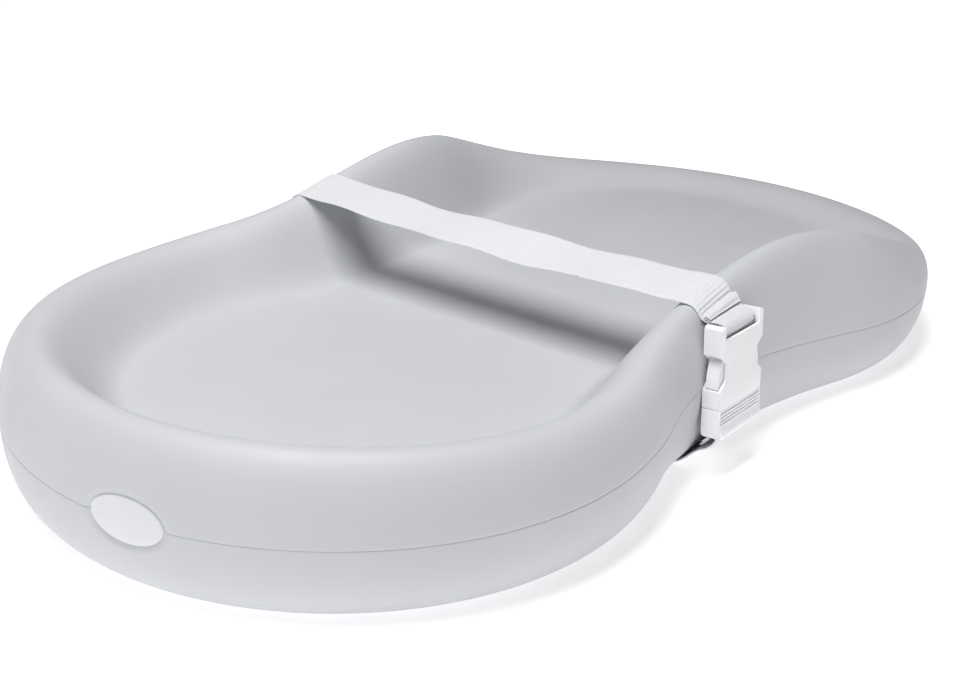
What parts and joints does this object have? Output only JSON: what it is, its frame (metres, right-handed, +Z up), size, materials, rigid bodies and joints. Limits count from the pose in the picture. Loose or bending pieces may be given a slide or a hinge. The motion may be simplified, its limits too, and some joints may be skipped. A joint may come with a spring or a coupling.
{
  "type": "changing pad",
  "caption": "Peanut-shaped moulded foam changing pad with a raised rim and a safety belt closed by a side release buckle.",
  "frame": {"origin": "middle of the footprint, on the surface that the pad rests on", "axes": "+X along the pad to its low end, +Y to the left, away from the buckle, +Z up"},
  "size_m": [0.812, 0.444, 0.1288],
  "materials": {
    "pad_skin": "satin moulded polyurethane skin, light cool grey",
    "foam": "cream moulded foam",
    "badge": "satin, paler than the pad",
    "adhesive": "adhesive film",
    "webbing": "white woven webbing",
    "thread": "white polyester thread",
    "buckle": "white moulded acetal, semi-gloss"
  },
  "bodies": {
    "pad": {"foam_core": "foam", "upper_skin": "pad_skin", "lower_skin": "pad_skin", "badge": "badge", "badge_film": "adhesive", "belt_over_basin": "webbing", "belt_left_flank": "webbing", "belt_under_base": "webbing", "belt_buckle_loop": "webbing", "belt_adjuster_run": "webbing", "belt_free_tail": "webbing", "tail_hem": "webbing", "hem_stitching": "thread", "fold_stitching": "thread", "buckle_female": "buckle", "buckle_male": "buckle"},
    "near_prong": {"prong_near": "buckle"},
    "far_prong": {"prong_far": "buckle"}
  },
  "joints": [
    {"name": "near_prong_squeeze", "type": "hinge", "parent": "pad", "child": "near_prong", "pos_m": [-0.057, -0.19957, 0.04541], "axis": [0, 0.9976, -0.0698], "range_deg": [0, 8], "stiffness_Nm_per_rad": 1.5},
    {"name": "far_prong_squeeze", "type": "hinge", "parent": "pad", "child": "far_prong", "pos_m": [-0.027, -0.19957, 0.04541], "axis": [0, -0.9976, 0.0698], "range_deg": [0, 8], "stiffness_Nm_per_rad": 1.5}
  ]
}
